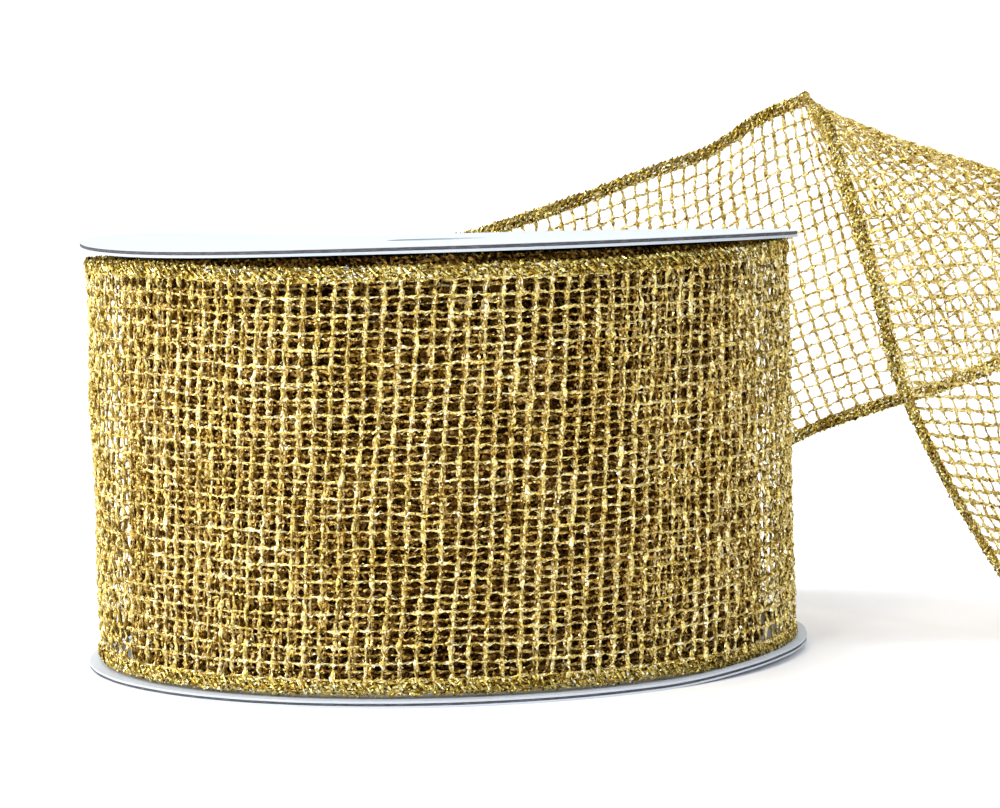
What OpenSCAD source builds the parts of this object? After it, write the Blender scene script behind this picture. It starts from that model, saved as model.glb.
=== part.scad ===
// Card spool of wired mesh ribbon, standing on its lower flange.
// Units are millimetres. +Z is up, +X and +Y are level, and the origin is on
// the spool's axis at the underside of the lower flange. The loose end of the
// ribbon leaves the back of the spool towards +X, rises, loops over and comes
// down at the right.

/* [Flanges] */
// Diameter of both card flanges
flange_d = 115; // [112:0.5:115]
// Thickness of the grey board in a flange
board_t = 0.7; // [0.5:0.1:1.0]
// Thickness of the white paper glued to each face of the board
paper_t = 0.15; // [0.1:0.05:0.2]
// Diameter of the spindle hole through both flanges
spindle_d = 16; // [12:0.5:20]

/* [Core] */
// Outer diameter of the wound card tube
core_d = 50; // [44:1:54]
// Wall of each of the tube's two plies
ply_t = 1.5; // [1.0:0.1:2.0]
// Leg of the glue bead inside each end of the tube
glue_leg = 1.6; // [1.0:0.1:2.5]

/* [Ribbon] */
// Width of the ribbon from wire to wire
ribbon_w = 63; // [60:0.5:63]
// Air between each edge of the ribbon and the flange beside it
side_gap = 0.55; // [0.4:0.05:1.0]
// Thickness of the open mesh
mesh_t = 0.5; // [0.4:0.05:0.7]
// Thickness of the stitched hems
hem_t = 0.9; // [0.7:0.05:1.0]
// Width of each stitched hem, with its wire
hem_w = 3; // [2.5:0.1:3.5]
// Thickness of the wire in each edge
wire_t = 0.5; // [0.4:0.05:0.6]

/* [Winding] */
// Diameter of the tightly wound roll
roll_d = 100; // [90:1:101]
// Diameter of the loosened outer turn
turn_d = 111; // [108:0.5:111]
// Angle from the front-right quarter where the loose turn starts to draw in
draw_in_from = 40; // [20:5:60]
// Angle over which the loose turn draws in to the roll
draw_in_over = 90; // [70:5:100]
// Angle past the back where the free end leaves the loose turn
leave_angle = 18; // [16:1:20]

/* [Free end] */
// Length of ribbon from the loose turn to the line where the free end swings
swing_at = 12; // [10:1:14]
// Length of ribbon from the loose turn to the line where its end lifts
lift_at = 180; // [178:1:182]
// Gap at each of these lines, so that it can turn
crease_gap = 0.6; // [0.5:0.1:0.8]

/* [Hidden] */

round_fn = 96;              // segments of the round card pieces
flange_t = board_t + 2 * paper_t;
gap_h = ribbon_w + 2 * side_gap;
total_h = gap_h + 2 * flange_t;
core_r = core_d / 2;
ribbon_low = flange_t + side_gap;
ribbon_high = ribbon_low + ribbon_w;
ribbon_middle = ribbon_low + ribbon_w / 2;
seam = 0.05;                // hairline between wire, hem and mesh
tape_t = 0.08;
tape_h = 24;
tape_angle = 40;
tape_air = 0.1;             // room left for the tape under the first turn
end_air = 0.45;             // air between the roll and the loose turn's inner end
station_step = 3;           // length of ribbon between sections of the free end
turn_step = 4;              // degrees between sections of the loose turn
route_step = 12;            // length of ribbon between the route's points
mesh_facets = 6;            // flat facets across the mesh of the free end

white_paper = [0.94, 0.95, 0.97];
grey_board = [0.55, 0.53, 0.50];
kraft = [0.66, 0.52, 0.36];
gold = [0.74, 0.58, 0.22];
gold_hem = [0.72, 0.66, 0.25];
wire_metal = [0.70, 0.66, 0.55];

// Upper edge, middle line and lower edge of the free ribbon, one point each for
// every route_step of its length, counted from the second step after it leaves
// the loose turn.
free_upper = [
    [4.5, 60.5, 66.5], [15, 63.5, 69.5], [26, 65.5, 73], [37.5, 68, 77],
    [48.5, 72, 80.5], [58.5, 77, 86.5], [66, 71, 89.5], [64.5, 59, 89],
    [64, 47, 88], [65.5, 36, 83.5], [67, 28, 74], [69.5, 22, 63.5],
    [71.5, 16, 53], [73.5, 10.5, 42], [77, 4.5, 32], [81.5, -1.5, 22],
    [86.5, -7.5, 12.5], [91.5, -14, 3.5], [99, -22.5, 0.8], [107, -31.5, 0.8]
];
free_middle = [
    [6, 59.5, 35], [17.5, 62.5, 38], [28, 66.5, 41.5], [38.5, 70.5, 46],
    [49.5, 74, 50.5], [60.5, 75, 55], [71.5, 72, 59.5], [79.5, 64.5, 63.5],
    [85.5, 55, 68.5], [92, 46, 73], [97.5, 36, 73.5], [100.5, 27, 66.5],
    [102.5, 22, 55], [103.5, 20, 42.5], [104, 20, 31], [105.5, 18.5, 19.5],
    [109, 14.5, 9], [115, 7, 2], [123, -2, 0.8], [130.5, -11, 0.8]
];
free_lower = [
    [7.5, 58.5, 3], [21, 61, 6], [33.5, 63.5, 10.5], [45, 64.5, 16],
    [55.5, 63.5, 22.5], [65.5, 61, 28], [76.5, 57.5, 32], [88, 54, 35.5],
    [99.5, 52, 40], [110.5, 50.5, 46.5], [119.5, 48, 54.5], [128, 40.5, 59.5],
    [132.5, 31.5, 55], [133.5, 29.5, 43], [132.5, 33.5, 32], [131.5, 36.5, 20.5],
    [133, 35, 8.5], [139, 27.5, 1.5], [147, 18.5, 0.8], [154, 9.5, 0.8]
];

function unit(v) = v / norm(v);
function ease(x) = x <= 0 ? 0 : x >= 1 ? 1 : x * x * (3 - 2 * x);
function lift(p, z) = [p.x, p.y, z];

// Plan of the loose turn: a full circle that draws in over its last quarter.
leave_at = 90 + leave_angle;
draw_in_at = 360 + draw_in_from;
turn_end = draw_in_at + draw_in_over;
turn_r = turn_d / 2;
inner_r = roll_d / 2 + end_air + mesh_t / 2;
function turn_radius(a) = turn_r + (inner_r - turn_r) * ease((a - draw_in_at) / draw_in_over);
function turn_point(a) = turn_radius(a) * [cos(a), sin(a), 0];
leave_way = [sin(leave_at), -cos(leave_at), 0];
function straight_point(s) = turn_r * [cos(leave_at), sin(leave_at), 0] + s * leave_way;

// Routes from the point where the ribbon leaves the turn.
function with_start(route, z) =
    concat([for (i = [0, 1]) lift(straight_point(i * route_step), z)], route);
tail_upper = with_start(free_upper, ribbon_high);
tail_middle = with_start(free_middle, ribbon_middle);
tail_lower = with_start(free_lower, ribbon_low);
tail_length = route_step * (len(tail_upper) - 1);

// Smooth curve through the route's points, at length s along the ribbon.
function on_route(route, s) =
    let (u = s / route_step, last = len(route) - 1, i = min(floor(u), last - 1), f = u - i,
        b = route[i], c = route[i + 1],
        a = i == 0 ? 2 * b - c : route[i - 1],
        d = i + 2 > last ? 2 * c - b : route[i + 2])
    b + 0.5 * f * (c - a + f * (2 * a - 5 * b + 4 * c - d + f * (3 * (b - c) + d - a)));

// A section is the ribbon's upper edge point, middle point and lower edge point.
function turn_section(a) = [for (z = [ribbon_high, ribbon_middle, ribbon_low]) lift(turn_point(a), z)];
function tail_section(s) = [for (route = [tail_upper, tail_middle, tail_lower]) on_route(route, s)];
function steps(from, to, step) =
    let (n = ceil((to - from) / step))
    [for (i = [0 : n]) from + (to - from) * i / n];

turn_sections = concat(
    [for (a = steps(-turn_end, -leave_at, turn_step)) turn_section(-a)],
    [for (s = steps(station_step, swing_at - crease_gap / 2, station_step)) tail_section(s)]
);
loop_sections = [
    for (s = steps(swing_at + crease_gap / 2, lift_at - crease_gap / 2, station_step)) tail_section(s)
];
end_sections = [
    for (s = steps(lift_at + crease_gap / 2, tail_length, station_step)) tail_section(s)
];

// Point at share w of the width, and the way across the ribbon there.
function across(section, w) =
    section[0] * (1 - w) * (1 - 2 * w) + section[1] * 4 * w * (1 - w) + section[2] * w * (2 * w - 1);
function way_across(section, w) =
    section[0] * (4 * w - 3) + section[1] * (4 - 8 * w) + section[2] * (4 * w - 1);

// Direction square to the ribbon's face at section i and share w.
function face_normal(sections, i, w) =
    let (before = across(sections[max(i - 1, 0)], w),
        after = across(sections[min(i + 1, len(sections) - 1)], w))
    unit(cross(way_across(sections[i], w), after - before));

// A strip of ribbon between two distances from its upper edge, with parts facets across.
module strip(sections, from, to, thickness, parts = 1) {
    count = len(sections);
    shares = [for (k = [0 : parts]) (from + (to - from) * k / parts) / ribbon_w];
    function face_point(i, k, side) =
        across(sections[i], shares[k]) + face_normal(sections, i, shares[k]) * side * thickness / 2;
    corners = [
        for (i = [0 : count - 1])
            each concat(
                [for (k = [parts : -1 : 0]) face_point(i, k, 1)],
                [for (k = [0 : parts]) face_point(i, k, -1)]
            )
    ];
    ring = 2 * (parts + 1);
    sides = [
        for (i = [0 : count - 2], k = [0 : ring - 1])
            let (a = ring * i + k, b = ring * i + (k + 1) % ring)
            each [[a, b, b + ring], [a, b + ring, a + ring]]
    ];
    last = ring * (count - 1);
    ends = [
        for (k = [0 : parts - 1])
            let (near = parts - k, far = parts + 1 + k)
            each [[far + 1, far, near, near - 1],
                [last + near - 1, last + near, last + far, last + far + 1]]
    ];
    polyhedron(corners, concat(sides, ends));
}

module mesh_strip(sections, parts) {
    color(gold) strip(sections, hem_w + seam, ribbon_w - hem_w - seam, mesh_t, parts);
}

module upper_hem(sections) {
    color(gold_hem) strip(sections, wire_t + seam, hem_w, hem_t);
}

module lower_hem(sections) {
    color(gold_hem) strip(sections, ribbon_w - hem_w, ribbon_w - wire_t - seam, hem_t);
}

module upper_wire(sections) {
    color(wire_metal) strip(sections, 0, wire_t, wire_t);
}

module lower_wire(sections) {
    color(wire_metal) strip(sections, ribbon_w - wire_t, ribbon_w, wire_t);
}

// A flat or tall ring standing on height z.
module ring(outer_r, inner_r, z, height) {
    translate([0, 0, z])
        difference() {
            cylinder(h = height, r = outer_r, $fn = round_fn);
            translate([0, 0, -1]) cylinder(h = height + 2, r = inner_r, $fn = round_fn);
        }
}

// One layer of a flange.
module disc(z, height) {
    ring(flange_d / 2, spindle_d / 2, z, height);
}

module top_flange_facing() {
    color(white_paper) disc(total_h - paper_t, paper_t);
}

module top_flange_board() {
    color(grey_board) disc(total_h - paper_t - board_t, board_t);
}

module top_flange_lining() {
    color(white_paper) disc(total_h - flange_t, paper_t);
}

module bottom_flange_facing() {
    color(white_paper) disc(0, paper_t);
}

module bottom_flange_board() {
    color(grey_board) disc(paper_t, board_t);
}

module bottom_flange_lining() {
    color(white_paper) disc(paper_t + board_t, paper_t);
}

module core_outer_ply() {
    color(kraft) ring(core_r, core_r - ply_t, flange_t, gap_h);
}

module core_inner_ply() {
    color(kraft) ring(core_r - ply_t, core_r - 2 * ply_t, flange_t, gap_h);
}

// Three-cornered bead between the tube's bore and a flange.
module glue_bead() {
    wall_r = core_r - 2 * ply_t;
    color("ivory")
        rotate_extrude($fn = round_fn)
            polygon([[wall_r - glue_leg, 0], [wall_r, 0], [wall_r, glue_leg]]);
}

module core_bottom_glue() {
    translate([0, 0, flange_t]) glue_bead();
}

module core_top_glue() {
    translate([0, 0, total_h - flange_t]) mirror([0, 0, 1]) glue_bead();
}

module ribbon_start_tape() {
    color("whitesmoke")
        translate([0, 0, total_h / 2 - tape_h / 2])
            rotate_extrude(angle = tape_angle, $fn = round_fn)
                translate([core_r, 0]) square([tape_t, tape_h]);
}

module roll_mesh() {
    color(gold) ring(roll_d / 2, core_r + tape_air, ribbon_low + hem_w, ribbon_w - 2 * hem_w);
}

module roll_upper_hem() {
    color(gold_hem) ring(roll_d / 2, core_r + tape_air, ribbon_high - hem_w, hem_w);
}

module roll_lower_hem() {
    color(gold_hem) ring(roll_d / 2, core_r + tape_air, ribbon_low, hem_w);
}

top_flange_board();
top_flange_facing();
top_flange_lining();
bottom_flange_board();
bottom_flange_facing();
bottom_flange_lining();
core_inner_ply();
core_outer_ply();
core_top_glue();
core_bottom_glue();
ribbon_start_tape();
roll_mesh();
roll_upper_hem();
roll_lower_hem();
mesh_strip(turn_sections, 1);  // loose_turn_mesh
upper_hem(turn_sections);  // loose_turn_upper_hem
lower_hem(turn_sections);  // loose_turn_lower_hem
upper_wire(turn_sections);  // loose_turn_upper_wire
lower_wire(turn_sections);  // loose_turn_lower_wire
mesh_strip(loop_sections, mesh_facets);  // tail_loop_mesh
upper_hem(loop_sections);  // tail_loop_upper_hem
lower_hem(loop_sections);  // tail_loop_lower_hem
upper_wire(loop_sections);  // tail_loop_upper_wire
lower_wire(loop_sections);  // tail_loop_lower_wire
mesh_strip(end_sections, mesh_facets);  // tail_end_mesh
upper_hem(end_sections);  // tail_end_upper_hem
lower_hem(end_sections);  // tail_end_lower_hem
upper_wire(end_sections);  // tail_end_upper_wire
lower_wire(end_sections);  // tail_end_lower_wire
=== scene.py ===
"""Gift ribbon spool: a white card spool holding a roll of gold wired tinsel mesh.

Lengths below are in millimetres and turn into metres when a mesh is made.
The ribbon is laid out by t, the length along it from the inner end of the loose turn,
v, the distance across it from its upper edge, and h, the height off its face.
"""

import math

import bpy
import numpy as np
from mathutils import Matrix, Vector

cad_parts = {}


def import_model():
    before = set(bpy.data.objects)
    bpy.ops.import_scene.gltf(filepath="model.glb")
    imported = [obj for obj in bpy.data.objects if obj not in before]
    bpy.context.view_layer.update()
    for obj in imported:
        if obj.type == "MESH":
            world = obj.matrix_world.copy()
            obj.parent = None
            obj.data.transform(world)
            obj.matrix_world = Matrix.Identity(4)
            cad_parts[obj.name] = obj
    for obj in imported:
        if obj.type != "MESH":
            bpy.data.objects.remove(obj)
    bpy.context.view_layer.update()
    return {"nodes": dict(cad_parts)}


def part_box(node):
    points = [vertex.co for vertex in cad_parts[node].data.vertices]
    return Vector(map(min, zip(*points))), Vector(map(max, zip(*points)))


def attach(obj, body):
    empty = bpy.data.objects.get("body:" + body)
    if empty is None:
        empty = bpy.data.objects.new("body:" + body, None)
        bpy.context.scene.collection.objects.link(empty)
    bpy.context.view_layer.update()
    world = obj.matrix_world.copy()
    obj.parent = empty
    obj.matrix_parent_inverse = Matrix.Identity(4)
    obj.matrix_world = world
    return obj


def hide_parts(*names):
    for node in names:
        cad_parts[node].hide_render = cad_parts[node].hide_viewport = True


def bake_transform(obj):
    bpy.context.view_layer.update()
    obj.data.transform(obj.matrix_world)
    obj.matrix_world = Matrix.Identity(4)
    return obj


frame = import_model()
MM = 0.001


# ---------------------------------------------------------------- sizes from the frame

def node_box(node):
    """Lowest and highest corner of a CAD node in millimetres."""
    low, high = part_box(node)
    return np.array(low) / MM, np.array(high) / MM


FLANGE_R = node_box("top_flange_board")[1][1]
CORE_R = node_box("core_outer_ply")[1][1]
ROLL_R = node_box("roll_mesh")[1][1]
BOTTOM_INSIDE = node_box("bottom_flange_lining")[1][2]
TOP_INSIDE = node_box("top_flange_lining")[0][2]
TOP_OUTSIDE = node_box("top_flange_facing")[1][2]
RIBBON_LOW = node_box("roll_lower_hem")[0][2]
RIBBON_HIGH = node_box("roll_upper_hem")[1][2]
RIBBON_W = RIBBON_HIGH - RIBBON_LOW
SPINDLE_R = 8.0

# The ribbon's make: hems, rows of mesh between them, and the spacing of yarns and stitches.
HEM_W = 2.2
MESH_ROWS = 24
PITCH = (RIBBON_W - 2 * HEM_W) / MESH_ROWS
YARN_STEPS = 4                              # points along a yarn for each hole it passes
STITCH_PITCH = 1.15
WIRE_R = 0.18
WIRE_IN = 0.5                               # from the ribbon's edge to the wire's middle
WIRE_STEP = 0.8
WEFT_LEAN = math.tan(math.radians(4.2))     # the weft isn't quite square to the edges
LEAN_FADE = 40.0                            # length over which the lean comes and goes

# The loose turn in plan: radii, and angles about the spool's axis in degrees.
TURN_R = 55.5
INNER_R = ROLL_R + 0.95
FRONT_ANGLE = 270.0
LEAVE_AT = 108.0
DRAW_IN_AT = 400.0
DRAW_IN_OVER = 90.0
TURN_END = DRAW_IN_AT + DRAW_IN_OVER
TURN_POINTS = 1600

# Its upper edge sags at the front and rises at the left.
# A span holds where it starts, how far it takes to build up, where it ends and how far it fades.
FRONT_SAG = 1.1
SAG_SPAN = (215, 35, 348, 60)
LEFT_RISE = 0.2
RISE_SPAN = (140, 40, 250, 50)

# The free end: lengths along it from the loose turn.
ROUTE_STEP = 12.0
TAIL_STEP = 0.25
EXIT_ENDS_AT = 48.0
LOOP_ENDS_AT = 144.0

# The flanges' papers and warps.
LIP_THICK = 0.2                             # top paper pressed down into the spindle hole
LIP_DEPTH = 0.45
RIGHT_HANG = 0.22
RIGHT_FRONT_LIFT = 0.6
LEFT_CURL = 1.6
LEFT_TWIST = 2.1
LEFT_SHIFT = 0.9
FOOT_LIFT = 0.9
FOOT_LIFT_FROM, FOOT_LIFT_OVER = 32, 22
RIM_WEAR = 0.05

# The tight roll: thickness of a wound layer, and the solid core under the two outer layers.
LAYER_T = 0.9
CORE_BELOW = 1.7
HEM_RIDGE = 0.28
ROW_BEHIND = 0.88                           # rows by which the roll's warp sits lower

# Upper edge, middle and lower edge of the free ribbon, one point for every ROUTE_STEP of
# its length, as in the CAD source.
FREE_UPPER = [
    [4.5, 60.5, 66.5], [15, 63.5, 69.5], [26, 65.5, 73], [37.5, 68, 77],
    [48.5, 72, 80.5], [58.5, 77, 86.5], [66, 71, 89.5], [64.5, 59, 89],
    [64, 47, 88], [65.5, 36, 83.5], [67, 28, 74], [69.5, 22, 63.5],
    [71.5, 16, 53], [73.5, 10.5, 42], [77, 4.5, 32], [81.5, -1.5, 22],
    [86.5, -7.5, 12.5], [91.5, -14, 3.5], [99, -22.5, 0.8], [107, -31.5, 0.8],
]
FREE_MIDDLE = [
    [6, 59.5, 35], [17.5, 62.5, 38], [28, 66.5, 41.5], [38.5, 70.5, 46],
    [49.5, 74, 50.5], [60.5, 75, 55], [71.5, 72, 59.5], [79.5, 64.5, 63.5],
    [85.5, 55, 68.5], [92, 46, 73], [97.5, 36, 73.5], [100.5, 27, 66.5],
    [102.5, 22, 55], [103.5, 20, 42.5], [104, 20, 31], [105.5, 18.5, 19.5],
    [109, 14.5, 9], [115, 7, 2], [123, -2, 0.8], [130.5, -11, 0.8],
]
FREE_LOWER = [
    [7.5, 58.5, 3], [21, 61, 6], [33.5, 63.5, 10.5], [45, 64.5, 16],
    [55.5, 63.5, 22.5], [65.5, 61, 28], [76.5, 57.5, 32], [88, 54, 35.5],
    [99.5, 52, 40], [110.5, 50.5, 46.5], [119.5, 48, 54.5], [128, 40.5, 59.5],
    [132.5, 31.5, 55], [133.5, 29.5, 43], [132.5, 33.5, 32], [131.5, 36.5, 20.5],
    [133, 35, 8.5], [139, 27.5, 1.5], [147, 18.5, 0.8], [154, 9.5, 0.8],
]


# ---------------------------------------------------------------- small helpers

def ease(x):
    """Smooth step from 0 to 1 as x goes from 0 to 1."""
    x = np.clip(x, 0, 1)
    return x * x * (3 - 2 * x)


def hump(x, start, rise, end, fall):
    """Eases up from start over rise, and down to end over fall."""
    return ease((x - start) / rise) * ease((end - x) / fall)


def unit(vectors):
    """The vectors at length 1."""
    return vectors / np.maximum(np.linalg.norm(vectors, axis=-1, keepdims=True), 1e-9)


def smooth_field(count, lowest, highest, seed):
    """A function of t and v made of a few sine waves, from about -1 to 1."""
    local = np.random.default_rng(seed)
    lengths = np.exp(local.uniform(math.log(lowest), math.log(highest), count))
    headings = local.uniform(0, 2 * math.pi, count)
    phases = local.uniform(0, 2 * math.pi, count)

    def field(t, v):
        total = 0
        for length, heading, phase in zip(lengths, headings, phases):
            along = t * math.cos(heading) + v * math.sin(heading)
            total = total + np.sin(2 * math.pi * along / length + phase)
        return total / math.sqrt(count)

    return field


def make_object(name, points, faces, material, smooth=False):
    """A mesh object from points in millimetres."""
    mesh = bpy.data.meshes.new(name)
    mesh.from_pydata((np.asarray(points) * MM).tolist(), [], faces)
    mesh.validate()
    mesh.materials.append(material)
    if smooth:
        mesh.shade_smooth()
    obj = bpy.data.objects.new(name, mesh)
    bpy.context.scene.collection.objects.link(obj)
    return obj


class Bag:
    """Collects the points and faces of one mesh."""

    def __init__(self):
        self.points = []
        self.faces = []
        self.count = 0

    def add(self, points, faces):
        points = np.asarray(points).reshape(-1, 3)
        for face in faces:
            self.faces.extend((np.asarray(face) + self.count).tolist())
        self.points.append(points)
        self.count += len(points)

    def make(self, name, material, smooth=False):
        return make_object(name, np.concatenate(self.points), self.faces, material, smooth)


def tubes(bag, paths, normals, wide, thick, turn, sides):
    """Adds closed tubes along paths (count, steps, 3), oval in section and turned by turn."""
    count, steps, _ = paths.shape
    ahead = unit(np.gradient(paths, axis=1))
    side = unit(np.cross(ahead, normals))
    up = np.cross(side, ahead)
    corner = 2 * math.pi * np.arange(sides) / sides
    beside = np.broadcast_to(wide, (count, steps))[..., None] * np.cos(corner)
    above = np.broadcast_to(thick, (count, steps))[..., None] * np.sin(corner)
    turn = np.broadcast_to(turn, (count, steps))[..., None]
    x = beside * np.cos(turn) - above * np.sin(turn)
    y = beside * np.sin(turn) + above * np.cos(turn)
    points = paths[:, :, None] + x[..., None] * side[:, :, None] + y[..., None] * up[:, :, None]
    ring = np.arange(count * steps * sides).reshape(count, steps, sides)
    near, far = ring[:, :-1], ring[:, 1:]
    around = np.roll(np.arange(sides), -1)
    walls = np.stack([near, near[..., around], far[..., around], far], axis=-1).reshape(-1, 4)
    caps = np.concatenate([ring[:, 0, ::-1], ring[:, -1]])
    bag.add(points, [walls, caps])


# ---------------------------------------------------------------- where the ribbon lies

def turn_plan():
    """Points in plan from the inner end of the loose turn to where the ribbon leaves it."""
    angle = np.linspace(TURN_END, LEAVE_AT, TURN_POINTS)
    radius = TURN_R + (INNER_R - TURN_R) * ease((angle - DRAW_IN_AT) / DRAW_IN_OVER)
    turned = np.radians(angle)
    return np.stack([radius * np.cos(turned), radius * np.sin(turned)], axis=-1)


def straight_point(s):
    """Plan point a length s past where the ribbon leaves the turn."""
    out = math.radians(LEAVE_AT)
    x = TURN_R * math.cos(out) + s * math.sin(out)
    y = TURN_R * math.sin(out) - s * math.cos(out)
    return [x, y]


def on_route(route, s):
    """Smooth curve through the route's points, at lengths s along the ribbon."""
    route = np.asarray(route, float)
    ends = np.concatenate([[2 * route[0] - route[1]], route, [2 * route[-1] - route[-2]]])
    u = np.asarray(s) / ROUTE_STEP
    i = np.clip(np.floor(u).astype(int), 0, len(route) - 2)
    f = (u - i)[:, None]
    a, b, c, d = ends[i], ends[i + 1], ends[i + 2], ends[i + 3]
    return b + 0.5 * f * (c - a + f * (2 * a - 5 * b + 4 * c - d + f * (3 * (b - c) + d - a)))


def full_route(free, height):
    """A route with its first two points, on the straight line off the turn."""
    return [straight_point(0) + [height], straight_point(ROUTE_STEP) + [height]] + free


def across(upper, middle, lower, share):
    """Point at a share of the width, on the parabola through three points."""
    return (
        upper * (1 - share) * (1 - 2 * share)
        + middle * 4 * share * (1 - share)
        + lower * share * (2 * share - 1)
    )


def way_across(upper, middle, lower, share):
    """Slope of that parabola."""
    return upper * (4 * share - 3) + middle * (4 - 8 * share) + lower * (4 * share - 1)


def front_sag(angle):
    """How far the loose turn's upper edge hangs below the roll's, at an angle round the spool."""
    return FRONT_SAG * hump(angle, *SAG_SPAN) - LEFT_RISE * hump(angle, *RISE_SPAN)


def ribbon_tables():
    """Length along the ribbon, its three lines and the face's normal at each, closely spaced."""
    plan = turn_plan()
    turn_t = np.concatenate([[0], np.cumsum(np.linalg.norm(np.diff(plan, axis=0), axis=1))])
    tail_s = np.arange(TAIL_STEP, TAIL_LENGTH + 1e-6, TAIL_STEP)
    sag = front_sag(np.linspace(TURN_END, LEAVE_AT, len(plan)))
    routes = (
        (FREE_UPPER, RIBBON_HIGH, 1.0),
        (FREE_MIDDLE, (RIBBON_HIGH + RIBBON_LOW) / 2, 0.5),
        (FREE_LOWER, RIBBON_LOW, 0.0),
    )
    lines = [
        np.concatenate([
            np.column_stack([plan, height - share * sag]),
            on_route(full_route(free, height), tail_s),
        ])
        for free, height, share in routes
    ]
    t = np.concatenate([turn_t, turn_t[-1] + tail_s])
    normals = []
    for line, share in zip(lines, (0.0, 0.5, 1.0)):
        ahead = np.gradient(line, t, axis=0)
        normals.append(unit(np.cross(way_across(*lines, share), ahead)))
    return turn_t[-1], t, lines, normals


TAIL_LENGTH = ROUTE_STEP * (len(FREE_UPPER) + 1)
TURN_LENGTH, TABLE_T, TABLE_LINES, TABLE_NORMALS = ribbon_tables()
TOTAL_LENGTH = TURN_LENGTH + TAIL_LENGTH


def look_up(table, t):
    """The table's points at lengths t along the ribbon."""
    return np.stack([np.interp(t, TABLE_T, table[:, k]) for k in range(3)], axis=-1)


def on_ribbon(t, v, h):
    """Point of the free ribbon and the face's normal there."""
    share = (v / RIBBON_W)[..., None]
    normal = unit(across(*[look_up(table, t) for table in TABLE_NORMALS], share))
    point = across(*[look_up(table, t) for table in TABLE_LINES], share)
    return point + normal * np.asarray(h)[..., None], normal


def on_layer(radius, start_angle):
    """A place function for one turn of the tight roll."""

    def place(t, v, h):
        angle = math.radians(start_angle) - t / radius
        flat = np.stack([np.cos(angle), np.sin(angle), np.zeros_like(angle)], axis=-1)
        point = flat * (radius - np.asarray(h))[..., None]
        point[..., 2] = RIBBON_HIGH - v
        return point, -flat

    return place


# ---------------------------------------------------------------- materials
# Noise scales are features per metre; colours are linear.

def new_material(name):
    """A material and its Principled shader."""
    material = bpy.data.materials.new(name)
    material.use_nodes = True
    nodes = material.node_tree.nodes
    nodes.clear()
    out = nodes.new("ShaderNodeOutputMaterial")
    shader = nodes.new("ShaderNodeBsdfPrincipled")
    material.node_tree.links.new(shader.outputs[0], out.inputs[0])
    return material, shader


def node(material, kind, values=(), **settings):
    """A shader node; values are (input, number or socket) pairs."""
    made = material.node_tree.nodes.new(kind)
    for key, value in settings.items():
        setattr(made, key, value)
    for key, value in values:
        if isinstance(value, bpy.types.NodeSocket):
            material.node_tree.links.new(value, made.inputs[key])
        else:
            made.inputs[key].default_value = value
    return made


def connect(material, socket, target):
    material.node_tree.links.new(socket, target)


def object_position(material):
    return node(material, "ShaderNodeTexCoord").outputs["Object"]


def ramp(material, factor, stops):
    """Colour for a factor, from (place, colour) stops."""
    made = node(material, "ShaderNodeValToRGB", [("Fac", factor)])
    elements = made.color_ramp.elements
    while len(elements) < len(stops):
        elements.new(1.0)
    for element, (place, colour) in zip(elements, stops):
        element.position = place
        element.color = (*colour, 1)
    return made.outputs["Color"]


def noise(material, where, scale, detail=4.0, roughness=0.55):
    values = [("Vector", where), ("Scale", scale), ("Detail", detail), ("Roughness", roughness)]
    return node(material, "ShaderNodeTexNoise", values).outputs["Fac"]


def math_node(material, operation, a, b, c=0.0):
    values = [(0, a), (1, b), (2, c)]
    return node(material, "ShaderNodeMath", values, operation=operation).outputs[0]


def multiply(material, factor, a, b):
    """Colour a darkened by colour b, by a factor."""
    values = [(0, factor), (6, a), (7, b)]
    made = node(material, "ShaderNodeMix", values, data_type="RGBA", blend_type="MULTIPLY")
    return made.outputs[2]


def grey(value):
    return (value, value, value)


def bump(material, shader, height, strength, distance):
    """Small relief on the shader's normal, distance in millimetres."""
    values = [("Height", height), ("Strength", strength), ("Distance", distance * MM)]
    made = node(material, "ShaderNodeBump", values)
    connect(material, made.outputs[0], shader.inputs["Normal"])


def vector_math(material, operation, values):
    return node(material, "ShaderNodeVectorMath", values, operation=operation).outputs[0]


def tinsel(name, stops, facet, tilt, roughness):
    """Metallised film cut fine: each small facet has a colour and a tilt of its own. The colours run
    from dark brown to near white: partly the film's own tones, partly painted shade and painted
    glints.
    """
    material, shader = new_material(name)
    where = object_position(material)
    cells = node(
        material, "ShaderNodeTexVoronoi", [("Vector", where), ("Scale", 1 / (facet * MM))]
    ).outputs["Color"]
    parts = node(material, "ShaderNodeSeparateColor", [("Color", cells)])
    broad = noise(material, where, 1 / (9 * MM), 3.0)
    drift = math_node(material, "MULTIPLY_ADD", broad, 0.7, -0.35)
    shade = math_node(material, "ADD", parts.outputs[0], drift)
    connect(material, ramp(material, shade, stops), shader.inputs["Base Color"])

    offset = vector_math(material, "SUBTRACT", [(0, cells), (1, grey(0.5))])
    scaled = vector_math(material, "SCALE", [(0, offset), ("Scale", tilt)])
    face = node(material, "ShaderNodeNewGeometry").outputs["Normal"]
    bent = vector_math(material, "ADD", [(0, face), (1, scaled)])
    straight = vector_math(material, "NORMALIZE", [(0, bent)])
    connect(material, straight, shader.inputs["Normal"])

    shader.inputs["Metallic"].default_value = 1.0
    shader.inputs["Specular Tint"].default_value = (1.0, 0.80, 0.48, 1)
    dull = math_node(material, "MULTIPLY_ADD", parts.outputs[1], 0.2, roughness)
    connect(material, dull, shader.inputs["Roughness"])
    return material


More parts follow.
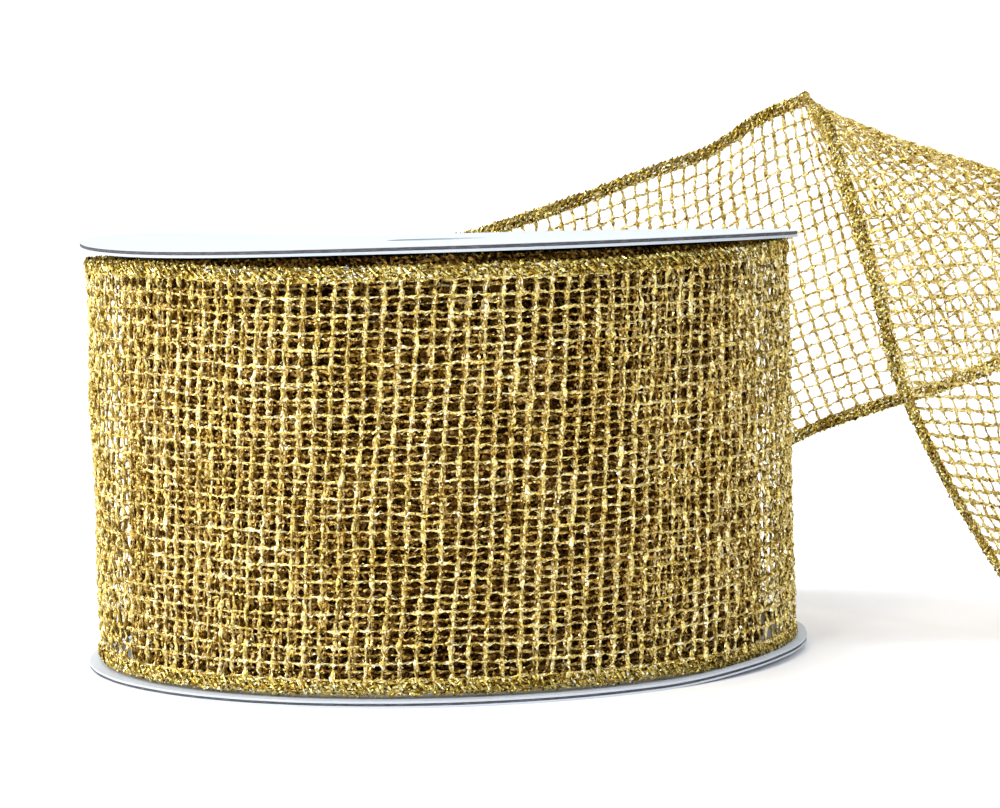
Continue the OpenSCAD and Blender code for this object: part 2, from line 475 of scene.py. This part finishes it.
def paper(name, dull_tone, clear_tone):
    """White coated paper with faint fibres, scuffs and a slightly blue cast."""
    material, shader = new_material(name)
    where = object_position(material)
    cloudy = noise(material, where, 45.0, 6.0)
    scuffs = noise(material, where, 900.0, 5.0, 0.7)
    tone = ramp(material, cloudy, [(0.3, dull_tone), (0.7, clear_tone)])
    speck = ramp(material, scuffs, [(0.27, (0.62, 0.61, 0.60)), (0.34, grey(1))])
    connect(material, multiply(material, 1.0, tone, speck), shader.inputs["Base Color"])
    rough = ramp(material, cloudy, [(0.35, grey(0.42)), (0.7, grey(0.58))])
    connect(material, rough, shader.inputs["Roughness"])
    bump(material, shader, scuffs, 0.12, 0.05)
    shader.inputs["Specular IOR Level"].default_value = 0.15
    shader.inputs["Coat Weight"].default_value = 0.03
    shader.inputs["Coat Roughness"].default_value = 0.3
    return material


def board():
    """Grey pulp board: flecks of fibre, laid in thin streaks round the cut edge."""
    material, shader = new_material("grey_pulp_board")
    where = object_position(material)
    flat = node(material, "ShaderNodeMapping", [("Vector", where), ("Scale", (1, 1, 9))]).outputs[0]
    fibres = noise(material, flat, 700.0, 6.0, 0.65)
    flecks = noise(material, where, 2600.0, 3.0, 0.6)
    tone = ramp(material, fibres, [
        (0.30, (0.02, 0.02, 0.026)), (0.5, (0.06, 0.058, 0.065)), (0.72, (0.16, 0.155, 0.16))])
    dots = ramp(material, flecks, [(0.30, (0.45, 0.43, 0.42)), (0.42, grey(1))])
    connect(material, multiply(material, 0.8, tone, dots), shader.inputs["Base Color"])
    shader.inputs["Roughness"].default_value = 0.86
    bump(material, shader, fibres, 0.6, 0.12)
    return material


def kraft():
    """Brown kraft tube paper with long fibres and darker flecks."""
    material, shader = new_material("brown_kraft_board")
    where = object_position(material)
    fibres = noise(material, where, 420.0, 7.0, 0.62)
    flecks = noise(material, where, 1900.0, 2.0)
    tone = ramp(material, fibres, [
        (0.30, (0.26, 0.155, 0.075)), (0.55, (0.42, 0.28, 0.15)), (0.75, (0.55, 0.40, 0.25))])
    dots = ramp(material, flecks, [(0.28, (0.5, 0.42, 0.36)), (0.38, grey(1))])
    connect(material, multiply(material, 0.7, tone, dots), shader.inputs["Base Color"])
    shader.inputs["Roughness"].default_value = 0.8
    bump(material, shader, fibres, 0.5, 0.1)
    return material


def glue():
    """Hot-melt glue: cream, slightly see-through, with soft lumps."""
    material, shader = new_material("cream_glue")
    where = object_position(material)
    lumps = noise(material, where, 350.0, 4.0)
    tone = ramp(material, lumps, [(0.35, (0.62, 0.52, 0.33)), (0.7, (0.78, 0.71, 0.52))])
    connect(material, tone, shader.inputs["Base Color"])
    shader.inputs["Roughness"].default_value = 0.32
    shader.inputs["Subsurface Weight"].default_value = 0.3
    shader.inputs["Subsurface Radius"].default_value = (0.0012, 0.0008, 0.0004)
    bump(material, shader, lumps, 0.7, 0.4)
    return material


def tape():
    """Clear yellowish packing tape with small wrinkles."""
    material, shader = new_material("clear_tape")
    where = object_position(material)
    wrinkles = noise(material, where, 260.0, 5.0)
    tone = ramp(material, wrinkles, [(0.3, (0.66, 0.56, 0.33)), (0.7, (0.80, 0.72, 0.50))])
    connect(material, tone, shader.inputs["Base Color"])
    shader.inputs["Roughness"].default_value = 0.16
    bump(material, shader, wrinkles, 0.5, 0.2)
    return material


def wire_metal():
    """Thin edge wire with a dull lacquer and drawing marks."""
    material, shader = new_material("edge_wire_metal")
    where = object_position(material)
    marks = noise(material, where, 3000.0, 3.0)
    tone = ramp(material, marks, [(0.3, (0.20, 0.15, 0.08)), (0.7, (0.42, 0.35, 0.20))])
    connect(material, tone, shader.inputs["Base Color"])
    shader.inputs["Metallic"].default_value = 1.0
    rough = ramp(material, marks, [(0.3, grey(0.28)), (0.7, grey(0.5))])
    connect(material, rough, shader.inputs["Roughness"])
    return material


# Tinsel colours, from the darkest facets to the brightest. Besides the film's own tones, the dark
# brown facets are painted shade and the near-white ones are painted glints.
GOLD_STOPS = [
    (0.00, (0.15, 0.075, 0.010)),
    (0.16, (0.42, 0.28, 0.052)),
    (0.48, (0.70, 0.56, 0.165)),
    (0.82, (0.84, 0.75, 0.36)),
    (0.99, (1.0, 0.98, 0.84)),
]
HEM_STOPS = [
    (0.02, (0.06, 0.030, 0.004)),
    (0.30, (0.30, 0.18, 0.026)),
    (0.58, (0.56, 0.42, 0.09)),
    (0.84, (0.76, 0.69, 0.22)),
    (0.97, (0.97, 1.0, 0.82)),
]
# Painted light and shade: the roll is the same ribbon, but its copy of the tinsel is warmer and more
# orange, darker at its darkest facets and brighter in the middle, coloured for how the roll looks in
# the shade between turns.
ROLL_PAINTED_LIGHT_STOPS = [
    (0.02, (0.10, 0.045, 0.006)),
    (0.30, (0.52, 0.32, 0.06)),
    (0.60, (0.90, 0.64, 0.19)),
    (0.96, (1.0, 0.92, 0.55)),
]
# Painted shade: a darkened copy of the gold tinsel for the roll's second layer, inner turns and
# hems, which lie in shade inside the spool.
PAINTED_SHADE_STOPS = [
    (0.05, (0.018, 0.008, 0.001)),
    (0.50, (0.12, 0.055, 0.009)),
    (0.97, (0.72, 0.46, 0.12)),
]
# Name, colours, facet size in millimetres, how far facets tilt, least roughness.
gold = tinsel("gold_tinsel", GOLD_STOPS, 0.30, 0.70, 0.28)
hem_gold = tinsel("hem_tinsel", HEM_STOPS, 0.34, 0.95, 0.16)
roll_gold_painted_light = tinsel("roll_tinsel_painted_light", ROLL_PAINTED_LIGHT_STOPS, 0.30, 0.9, 0.24)
painted_shade_gold = tinsel("painted_shade_tinsel", PAINTED_SHADE_STOPS, 0.40, 1.1, 0.28)
# One white paper in two tones: a darker copy on the top flange, whose top face is most lit (painted
# shade), and a lighter copy on the bottom flange, whose lining lies in the top flange's shade
# (painted light).
top_paper_painted_shade = paper("top_coated_paper_painted_shade", (0.42, 0.475, 0.53), (0.46, 0.51, 0.555))
bottom_paper_painted_light = paper("bottom_coated_paper_painted_light", (0.47, 0.52, 0.59), (0.52, 0.565, 0.63))
grey_board = board()
kraft_board = kraft()
cream_glue = glue()
clear_tape = tape()
wire = wire_metal()


# ---------------------------------------------------------------- the ribbon's mesh

# Half width, half thickness and half width of the thread round it, for weft and warp.
YARNS = ((0.38, 0.17, 0.055), (0.28, 0.14, 0.08))
ROLL_YARNS = ((0.34, 0.16, 0), (0.30, 0.15, 0))
OVER_UNDER = 0.17           # how far crossing yarns pass over and under the ribbon's face
WEFT_IN_HEM = 1.3           # how far the weft runs into each hem
DRIFT_T, DRIFT_V, DRIFT_H = 0.22, 0.16, 0.14    # slow waves along, across and off the face
FLUTTER = 0.035             # unevenness of a yarn's course, in holes


def spread(a, b):
    """Both arrays in the shape they share."""
    return np.broadcast_arrays(a, b)


def near_crossing(holes):
    """1 where a yarn crosses another, 0 halfway between."""
    return 0.5 + 0.5 * np.cos(2 * math.pi * holes)


class Weave:
    """The crossings of one length of mesh: columns of weft across, rows of warp along."""

    def __init__(self, place, length, seed, lean=WEFT_LEAN, wander=0.07, fade=LEAN_FADE,
                 row_shift=0.0):
        self.place = place
        self.length = length
        self.columns = int(round(length / PITCH))
        self.lean = lean
        self.fade = fade
        self.row_shift = row_shift
        self.local = np.random.default_rng(seed)
        shape = (self.columns + 1, MESH_ROWS + 1)
        self.slip_t = self.local.normal(0, wander, shape)
        self.slip_v = self.local.normal(0, wander * 0.8, shape)
        self.field_t = smooth_field(6, 14, 70, seed + 1)
        self.field_v = smooth_field(6, 14, 70, seed + 2)
        self.field_h = smooth_field(5, 18, 60, seed + 3)

    def point(self, column, row, raise_by):
        """Point for fractional column and row; rows below 0 and above MESH_ROWS are in the hems."""
        column = np.clip(column, 0, self.columns)
        inside = np.clip(row, 0, MESH_ROWS)
        t = column * PITCH
        v = HEM_W + row * PITCH
        at_end = ease(np.minimum(t, self.length - t) / self.fade)
        at_hem = ease(np.minimum(inside, MESH_ROWS - inside) / 2)
        shift_t = self.sample(self.slip_t, column, inside) + DRIFT_T * self.field_t(t, v) * at_end
        shift_v = (self.sample(self.slip_v, column, inside) + DRIFT_V * self.field_v(t, v)) * at_hem
        t = t + self.lean * at_end * (v - RIBBON_W / 2) + shift_t
        h = raise_by + DRIFT_H * self.field_h(t, v)
        return self.place(t, v + shift_v, h)

    def sample(self, grid, column, row):
        """Grid values between crossings, eased from one crossing to the next."""
        i = np.minimum(np.floor(column).astype(int), self.columns - 1)
        j = np.minimum(np.floor(row).astype(int), MESH_ROWS - 1)
        f, g = ease(column - i), ease(row - j)
        first = grid[i, j] * (1 - g) + grid[i, j + 1] * g
        second = grid[i + 1, j] * (1 - g) + grid[i + 1, j + 1] * g
        return first * (1 - f) + second * f

    def weft(self, bag, first, last, sides, steps, yarn):
        """Yarns across the ribbon at columns first to last, ending in the hems."""
        past = WEFT_IN_HEM / PITCH
        rows = np.linspace(-past, MESH_ROWS + past, int(steps * (MESH_ROWS + 2 * past)) + 1)
        column, row = spread(np.arange(first, last)[:, None] + 0.5, rows)
        wave, flutter, twist, swell = self.unevenness(column, row, 1)
        path, normal = self.point(column + flutter, row, wave)
        swell = swell * (0.86 + 0.28 * near_crossing(rows))
        self.lay(bag, path, normal, swell, twist, sides, yarn)

    def warp(self, bag, first, last, sides, steps, yarn):
        """Yarns along the ribbon between columns first and last."""
        columns = np.linspace(first, last, int(round(steps * (last - first))) + 1)
        column, row = spread(columns, np.arange(MESH_ROWS + 1)[:, None] + self.row_shift)
        wave, flutter, twist, swell = self.unevenness(column, row, -1)
        path, normal = self.point(column, row + flutter, wave)
        swell = swell * (0.72 + 0.68 * near_crossing(columns - 0.5) ** 2)
        self.lay(bag, path, normal, swell, twist, sides, yarn)

    def unevenness(self, column, row, over):
        """Over and under wave, flutter, twist and swell for a batch of yarns."""
        swell = self.local.uniform(0.85, 1.2, column.shape)
        twist = np.cumsum(self.local.normal(0.5, 0.8, column.shape), axis=1)
        flutter = self.local.normal(0, FLUTTER, column.shape)
        wave = over * OVER_UNDER * np.cos(math.pi * (row + column - 0.5))
        return wave, flutter, twist, swell

    def lay(self, bag, path, normal, swell, twist, sides, yarn):
        """Lays a batch of yarns, with the finer thread that winds round each."""
        wide, thick, fuzz = yarn
        tubes(bag, path, normal, wide * swell, thick * swell, twist, sides)
        if fuzz:
            self.wind(bag, path, normal, wide, fuzz)

    def wind(self, bag, path, normal, wide, fuzz):
        """A fine thread that wanders round each yarn."""
        shape = path.shape[:2]
        turned = np.cumsum(self.local.uniform(1.0, 2.6, shape), axis=1)
        out = wide * self.local.uniform(0.8, 1.7, shape)
        side = unit(np.cross(np.gradient(path, axis=1), normal))
        beside = (out * np.cos(turned))[..., None] * side
        above = (out * np.sin(turned) * 0.8)[..., None] * normal
        tubes(bag, path + (beside + above), normal, fuzz, fuzz * 0.6, turned, 3)


def mesh_piece(name, weave, first, last, sides, steps, yarns, material):
    """The mesh between two columns of a weave."""
    bag = Bag()
    weave.weft(bag, first, last, sides, steps, yarns[0])
    weave.warp(bag, first, last, sides, steps, yarns[1])
    return bag.make(name, material)


# ---------------------------------------------------------------- hems and wires

HEM_YARN_DEPTHS = np.array([0.30, 0.8, 1.3, 1.85])[:, None]
HEM_YARN_W = 0.30
# One stitch: depth from the ribbon's edge and height off its face at each point of the loop.
LOOP_DEPTH = np.array([-0.10, 0.30, 0.85, 1.5, 2.05, 2.25, 1.95, 1.3, 0.6])
LOOP_RISE = np.array([0.0, 0.38, 0.46, 0.42, 0.26, 0.0, -0.3, -0.44, -0.42])
LOOP_OUT = -0.14            # least depth of a stitch: just outside the edge
LOOP_W = 0.22
LOOP_LEAN = 0.85
LOOP_AHEAD = 1.1


def from_edge(edge, depth):
    """Distance across the ribbon for a depth in from edge 0, the upper one, or 1, the lower."""
    return depth if edge == 0 else RIBBON_W - depth


def hem_yarns(bag, local, place, start, end, edge, sides):
    """Long yarns laid side by side along an edge."""
    step = PITCH / YARN_STEPS
    t, depth = spread(np.linspace(start, end, int((end - start) / step) + 1), HEM_YARN_DEPTHS)
    depth = depth + local.normal(0, 0.07, depth.shape)
    rise = local.normal(0, 0.06, depth.shape)
    path, normal = place(t, from_edge(edge, depth), rise)
    width = HEM_YARN_W * local.uniform(0.8, 1.15, depth.shape)
    turn = np.cumsum(local.normal(0.6, 0.6, depth.shape), axis=1)
    tubes(bag, path, normal, width, width * 0.75, turn, sides)


def hem_stitches(bag, local, place, start, end, edge, sides):
    """One thread that loops round the edge, stitch after stitch."""
    count = int((end - start) / STITCH_PITCH)
    shape = (count, len(LOOP_DEPTH))
    way = 1 if edge == 0 else -1
    stitch = np.arange(count)[:, None] + local.uniform(-0.25, 0.25, (count, 1))
    share = np.arange(len(LOOP_DEPTH)) / len(LOOP_DEPTH)
    depth = np.maximum(LOOP_DEPTH + local.normal(0, 0.12, shape), LOOP_OUT)
    rise = LOOP_RISE * local.uniform(0.85, 1.25, shape)
    along = start + (stitch + share) * STITCH_PITCH - way * LOOP_LEAN * depth
    along = along + local.normal(0, 0.12, shape) + way * LOOP_AHEAD
    path, normal = place(
        np.clip(along, start, end).ravel(), from_edge(edge, depth).ravel(), rise.ravel())
    width = LOOP_W * local.uniform(0.7, 1.3, (1, depth.size))
    turn = local.normal(0, 0.45, width.shape)
    tubes(bag, path[None], normal[None], width, width * 0.32, turn, sides)


def hem_piece(name, place, start, end, edge, seed, material, sides=5):
    """Overlocked hem between lengths start and end."""
    local = np.random.default_rng(seed)
    bag = Bag()
    hem_yarns(bag, local, place, start, end, edge, sides)
    hem_stitches(bag, local, place, start, end, edge, sides)
    return bag.make(name, material)


def wire_piece(name, start, end, edge):
    """The wire sewn into one edge between lengths start and end."""
    bag = Bag()
    t = np.linspace(start, end, int((end - start) / WIRE_STEP) + 1)[None, :]
    v = np.full_like(t, from_edge(edge, WIRE_IN))
    path, normal = on_ribbon(t, v, np.zeros_like(t))
    tubes(bag, path, normal, WIRE_R, WIRE_R, 0.0, 8)
    return bag.make(name, wire, smooth=True)


weave = Weave(on_ribbon, TOTAL_LENGTH, 100)
turn_columns = int(round(TURN_LENGTH / PITCH))
exit_columns = turn_columns + int(round(EXIT_ENDS_AT / PITCH))
loop_columns = turn_columns + int(round(LOOP_ENDS_AT / PITCH))


def on_turn(obj):
    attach(obj, "loose_turn")


def across_swing(obj):
    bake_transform(obj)


def on_loop(obj):
    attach(obj, "tail_loop")


def across_lift(obj):
    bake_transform(obj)


def ribbon_length(name, first, last, hold, nodes, mesh_cuts):
    """One length of ribbon: mesh, two hems and two wires, each passed to hold; the CAD parts of
    nodes are hidden.
    """
    start, end = first * PITCH, min(last * PITCH, TOTAL_LENGTH)
    parts = []
    for edge, label in ((0, "upper"), (1, "lower")):
        hem = hem_piece(
            f"{name}_{label}_hem_stitching", on_ribbon, start, end, edge, first + 7 * edge, hem_gold)
        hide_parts(*[f"{n}_{label}_hem" for n in nodes])
        thread = wire_piece(f"{name}_{label}_edge_wire", start, end, edge)
        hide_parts(*[f"{n}_{label}_wire" for n in nodes])
        parts += [hem, thread]
    cuts = np.linspace(first, last, mesh_cuts + 1).round().astype(int)
    for k, (a, b) in enumerate(zip(cuts[:-1], cuts[1:])):
        piece = mesh_piece(f"{name}_mesh_{k + 1}", weave, a, b, 6, YARN_STEPS, YARNS, gold)
        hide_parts(*[f"{n}_mesh" for n in nodes])
        hold(piece)
    for part in parts:
        hold(part)


# ---------------------------------------------------------------- the tight roll

def lathe(bag, profile, count, wobble=None):
    """Turns a closed profile of (radius, height) round Z, then bends it by wobble."""
    profile = np.asarray(profile, float)
    angle = 2 * math.pi * np.arange(count)[:, None] / count
    radius, height = profile[:, 0][None], profile[:, 1][None]
    tall = np.broadcast_to(height, (count, len(profile)))
    points = np.stack([radius * np.cos(angle), radius * np.sin(angle), tall], axis=-1)
    if wobble is not None:
        points = wobble(points)
    ring = np.arange(count * len(profile)).reshape(count, -1)
    after = np.roll(ring, -1, axis=0)
    walls = np.stack([ring, after, np.roll(after, -1, axis=1), np.roll(ring, -1, axis=1)], axis=-1)
    bag.add(points, [walls.reshape(-1, 4)])


def roll_core():
    """The wound turns under the outer layers, with a ridge for each turn's hem."""
    bag = Bag()
    outer = ROLL_R - CORE_BELOW
    end_gap, corner, wave = 0.1, 0.5, 0.3
    radii = np.arange(CORE_R + 0.4, outer, LAYER_T / 2)
    ridge = end_gap + HEM_RIDGE * (np.arange(len(radii)) % 2)
    top = [(r, RIBBON_HIGH - d) for r, d in zip(radii, ridge)]
    bottom = [(r, RIBBON_LOW + d) for r, d in zip(radii[::-1], ridge[::-1])]
    wall_z = np.linspace(RIBBON_HIGH - corner, RIBBON_LOW + corner, 4 * MESH_ROWS + 1)
    wall = [(outer + wave * math.cos(math.pi * k / 2), z) for k, z in enumerate(wall_z)]
    lathe(bag, bottom + top + wall, 180)
    # Painted shade: the inner turns take the darkened tinsel that stands for the shade inside the
    # roll.
    core = bag.make("roll_inner_turns", painted_shade_gold)
    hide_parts("roll_mesh")
    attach(core, "spool")


def matching_start(radius, around_by):
    """Start angle that sets a layer's weft behind the loose turn's, at the front of the spool."""
    front_t = TURN_LENGTH - math.radians(FRONT_ANGLE - LEAVE_AT) * TURN_R
    columns = round(math.radians(around_by) * radius / PITCH) + front_t / PITCH % 1
    return FRONT_ANGLE + math.degrees(columns * PITCH / radius)


def roll_layer(name, radius, around_by, seed, material):
    """One full turn of mesh and its two hems; its warp shows in the loose turn's holes."""
    around = 2 * math.pi * radius
    place = on_layer(radius, matching_start(radius, around_by))
    layer = Weave(place, around, seed, wander=0.09, fade=10.0, row_shift=ROW_BEHIND)
    mesh = mesh_piece(name, layer, 0, layer.columns, 4, 3, ROLL_YARNS, material)
    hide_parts("roll_mesh")
    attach(mesh, "spool")
    for edge, label in ((0, "upper"), (1, "lower")):
        # Painted shade: the roll's hems take the darkened tinsel that stands for the shade under the
        # top flange.
        hem = hem_piece(
            f"{name}_{label}_hem", place, 0, around, edge, seed + 5 + edge, painted_shade_gold, 4)
        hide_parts(f"roll_{label}_hem")
        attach(hem, "spool")


roll_core()
# The outer layer takes the roll's recoloured tinsel: painted light and shade.
roll_layer("roll_outer_layer", ROLL_R, 220.0, 300, roll_gold_painted_light)
# The second layer takes the darkened tinsel: painted shade.
roll_layer("roll_second_layer", ROLL_R - LAYER_T, 165.0, 340, painted_shade_gold)
ribbon_length("loose_turn", 0, turn_columns, on_turn, ["loose_turn"], 4)
ribbon_length("tail_exit", turn_columns, exit_columns, across_swing, ["loose_turn", "tail_loop"], 1)
ribbon_length("tail_loop", exit_columns, loop_columns, on_loop, ["tail_loop"], 1)
ribbon_length("tail_end", loop_columns, weave.columns, across_lift, ["tail_loop", "tail_end"], 1)


# ---------------------------------------------------------------- the card spool

def top_warp(points):
    """Bends the top flange: the left curls up, the right hangs a little, less so at the front."""
    right = np.clip(points[..., 0] / FLANGE_R, 0, None)
    left = np.clip(-points[..., 0] / FLANGE_R, 0, None)
    back = points[..., 1] / FLANGE_R
    front = np.clip(-back, 0, None)
    points[..., 2] += (RIGHT_FRONT_LIFT * front - RIGHT_HANG) * right * right
    points[..., 2] += (LEFT_CURL + LEFT_TWIST * back) * left * left
    points[..., 0] += LEFT_SHIFT * left * left
    return points


def bottom_warp(points):
    """Lifts the right side of the bottom flange a little off the table."""
    points[..., 2] += FOOT_LIFT * ease((points[..., 0] - FOOT_LIFT_FROM) / FOOT_LIFT_OVER)
    return points


def disc_profile(inner, outer, low, high, rounding, lip):
    """Section of a disc, slightly rounded at its rim, turned down by lip into the spindle hole."""
    middle = np.linspace(inner + LIP_THICK, outer - rounding, 9)
    top = [(inner, high)] + [(r, high) for r in middle]
    rim = [(outer - 0.3 * rounding, high - 0.3 * rounding), (outer, high - rounding),
           (outer, low + rounding), (outer - 0.3 * rounding, low + 0.3 * rounding)]
    bottom = [(r, low) for r in middle[::-1]]
    if lip:
        bottom.append((inner + LIP_THICK, low - lip))
    bottom.append((inner, low - lip))
    return top + rim + bottom


def card_disc(name, node_name, low, high, warp, material, rounding,
              inner=SPINDLE_R, outer=FLANGE_R, lip=0.0):
    """One layer of a flange, with a slightly worn rim."""
    bag = Bag()
    profile = disc_profile(inner, outer, low, high, rounding, lip)[::-1]
    rough = smooth_field(7, 4, 30, len(name) + int(high * 10))

    def worn(points):
        angle = np.arctan2(points[..., 1], points[..., 0])
        radius = np.hypot(points[..., 0], points[..., 1])
        at_rim = ease((radius - outer + 1.0) / 0.8)
        away = 1 + RIM_WEAR / outer * rough(angle * outer, points[..., 2]) * at_rim
        points[..., 0] *= away
        points[..., 1] *= away
        return warp(points)

    lathe(bag, profile, 360, worn)
    disc = bag.make(name, material)
    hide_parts(node_name)
    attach(disc, "spool")


def tube_ply(name, node_name, inner, outer, low, high, material):
    """One ply of the card tube, with the groove of its spiral seam."""
    bag = Bag()
    heights = np.linspace(low, high, 30)
    seam_depth, seam_share, seam_rise = 0.12, 0.012, 60

    def spiral(points):
        angle = np.arctan2(points[..., 1], points[..., 0])
        turn = (points[..., 2] / seam_rise - angle / (2 * math.pi)) % 1
        groove = 1 - seam_depth * np.exp(-((turn - 0.5) / seam_share) ** 2) / outer
        points[..., 0] *= groove
        points[..., 1] *= groove
        return points

    profile = [(outer, z) for z in heights] + [(inner, z) for z in heights[::-1]]
    lathe(bag, profile, 240, spiral)
    tube = bag.make(name, material)
    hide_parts(node_name)
    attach(tube, "spool")


def flange(side, low, high, board_low, board_high, warp, paper_here, lip):
    """Three layers; board_low and board_high are shares of the thickness.

    The upper paper turns down by lip into the spindle hole.
    """
    below, above = ("lining", "facing") if side == "top" else ("facing", "lining")
    first = low + (high - low) * board_low
    second = low + (high - low) * board_high
    card_disc(f"{side}_flange_{below}_paper", f"{side}_flange_{below}", low, first,
              warp, paper_here, 0.06)
    card_disc(f"{side}_flange_pulp_board", f"{side}_flange_board", first, second,
              warp, grey_board, 0.08, SPINDLE_R + LIP_THICK + 0.05, FLANGE_R - 0.06)
    card_disc(f"{side}_flange_{above}_paper", f"{side}_flange_{above}", second, high,
              warp, paper_here, 0.04, lip=lip)


# Each flange takes its own tone of the one paper: painted shade on top, painted light below.
flange("top", TOP_INSIDE, TOP_OUTSIDE, 0.42, 0.90, top_warp, top_paper_painted_shade, LIP_DEPTH)
flange("bottom", 0.0, BOTTOM_INSIDE, 0.30, 0.68, bottom_warp, bottom_paper_painted_light, 0.0)

ply_wall = node_box("core_outer_ply")[1][1] - node_box("core_inner_ply")[1][1]
for ply in ("inner", "outer"):
    low, high = node_box(f"core_{ply}_ply")
    tube_ply(f"core_{ply}_kraft_ply", f"core_{ply}_ply", high[1] - ply_wall + 0.02, high[1],
             low[2], high[2], kraft_board)

for node_name, material in (("core_top_glue", cream_glue), ("core_bottom_glue", cream_glue),
                            ("ribbon_start_tape", clear_tape)):
    kept = frame["nodes"][node_name]
    kept.data.materials.clear()
    kept.data.materials.append(material)


# ---------------------------------------------------------------- floor, light and camera

def floor_material():
    """Nearly white, with faint clouds."""
    material, shader = new_material("pale_floor")
    where = object_position(material)
    faint = noise(material, where, 8.0, 3.0)
    tone = ramp(material, faint, [(0.3, (0.86, 0.86, 0.865)), (0.7, (0.885, 0.885, 0.89))])
    connect(material, tone, shader.inputs["Base Color"])
    shader.inputs["Roughness"].default_value = 0.55
    return material


def floor_and_backdrop():
    """A pale sweep in metres: flat floor, curving up to a backdrop behind the object."""
    front, back, bend, top, half_width = -1.6, 0.9, 0.5, 2.4, 2.6
    curve = [(front, 0.0), (back, 0.0)]
    for a in np.linspace(0.1, math.pi / 2, 14):
        curve.append((back + bend * math.sin(a), bend - bend * math.cos(a)))
    curve.append((back + bend, top))
    points = [(x, y, z) for y, z in curve for x in (-half_width, half_width)]
    faces = [(2 * k, 2 * k + 1, 2 * k + 3, 2 * k + 2) for k in range(len(curve) - 1)]
    mesh = bpy.data.meshes.new("floor")
    mesh.from_pydata(points, [], faces)
    mesh.materials.append(floor_material())
    mesh.shade_smooth()
    floor = bpy.data.objects.new("floor", mesh)
    bpy.context.scene.collection.objects.link(floor)


def area_light(name, place, target, size, power, colour):
    """A rectangular lamp turned to its target."""
    data = bpy.data.lights.new(name, "AREA")
    data.shape = "RECTANGLE"
    data.size, data.size_y = size
    data.energy = power
    data.color = colour
    lamp = bpy.data.objects.new(name, data)
    lamp.location = place
    lamp.rotation_mode = "QUATERNION"
    lamp.rotation_quaternion = (Vector(target) - Vector(place)).to_track_quat("-Z", "Y")
    bpy.context.scene.collection.objects.link(lamp)


def world():
    """Soft, slightly blue light from all round."""
    made = bpy.data.worlds.new("studio")
    made.use_nodes = True
    background = made.node_tree.nodes["Background"]
    background.inputs["Color"].default_value = (0.93, 0.95, 1.0, 1)
    background.inputs["Strength"].default_value = 0.55
    bpy.context.scene.world = made


# The camera: place in metres, lens and sensor in millimetres, tilt and roll in degrees.
EYE = (0.00937, -0.5107, 0.0744)
LENS = 114.9
SENSOR_W = 36
LOOK_DOWN = 3.92
ROLL = -1.65


def camera():
    data = bpy.data.cameras.new("camera")
    data.sensor_width = SENSOR_W
    data.lens = LENS
    cam = bpy.data.objects.new("camera", data)
    cam.matrix_world = (
        Matrix.Translation(EYE)
        @ Matrix.Rotation(math.radians(90 - LOOK_DOWN), 4, "X")
        @ Matrix.Rotation(math.radians(ROLL), 4, "Z")
    )
    data.clip_start, data.clip_end = 0.01, 20
    bpy.context.scene.collection.objects.link(cam)
    bpy.context.scene.camera = cam


# Lights: name, place, target, width and height in metres, watts and colour.
MIDDLE = (0.02, 0.0, 0.03)
LIGHTS = (
    ("key", (-0.7, -0.7, 1.1), MIDDLE, (1.2, 1.2), 19, (1.0, 0.98, 0.95)),
    ("fill", (1.0, -0.6, 0.7), MIDDLE, (0.8, 0.8), 3, (0.95, 0.97, 1.0)),
    ("left_wall", (-0.9, 0.05, 0.35), MIDDLE, (0.7, 0.5), 6, (1.0, 0.96, 0.90)),
    ("backdrop_wash", (0.0, 0.5, 1.4), (0.0, 1.1, 0.2), (1.6, 0.6), 14, (1.0, 1.0, 1.0)),
    ("spark_left", (-0.35, -0.9, 0.35), MIDDLE, (0.05, 0.05), 1.6, (1.0, 1.0, 1.0)),
    ("spark_right", (0.45, -0.8, 0.5), MIDDLE, (0.05, 0.05), 1.6, (1.0, 1.0, 1.0)),
)

floor_and_backdrop()
for light in LIGHTS:
    area_light(*light)
world()
camera()
bpy.context.scene.view_settings.view_transform = "Standard"
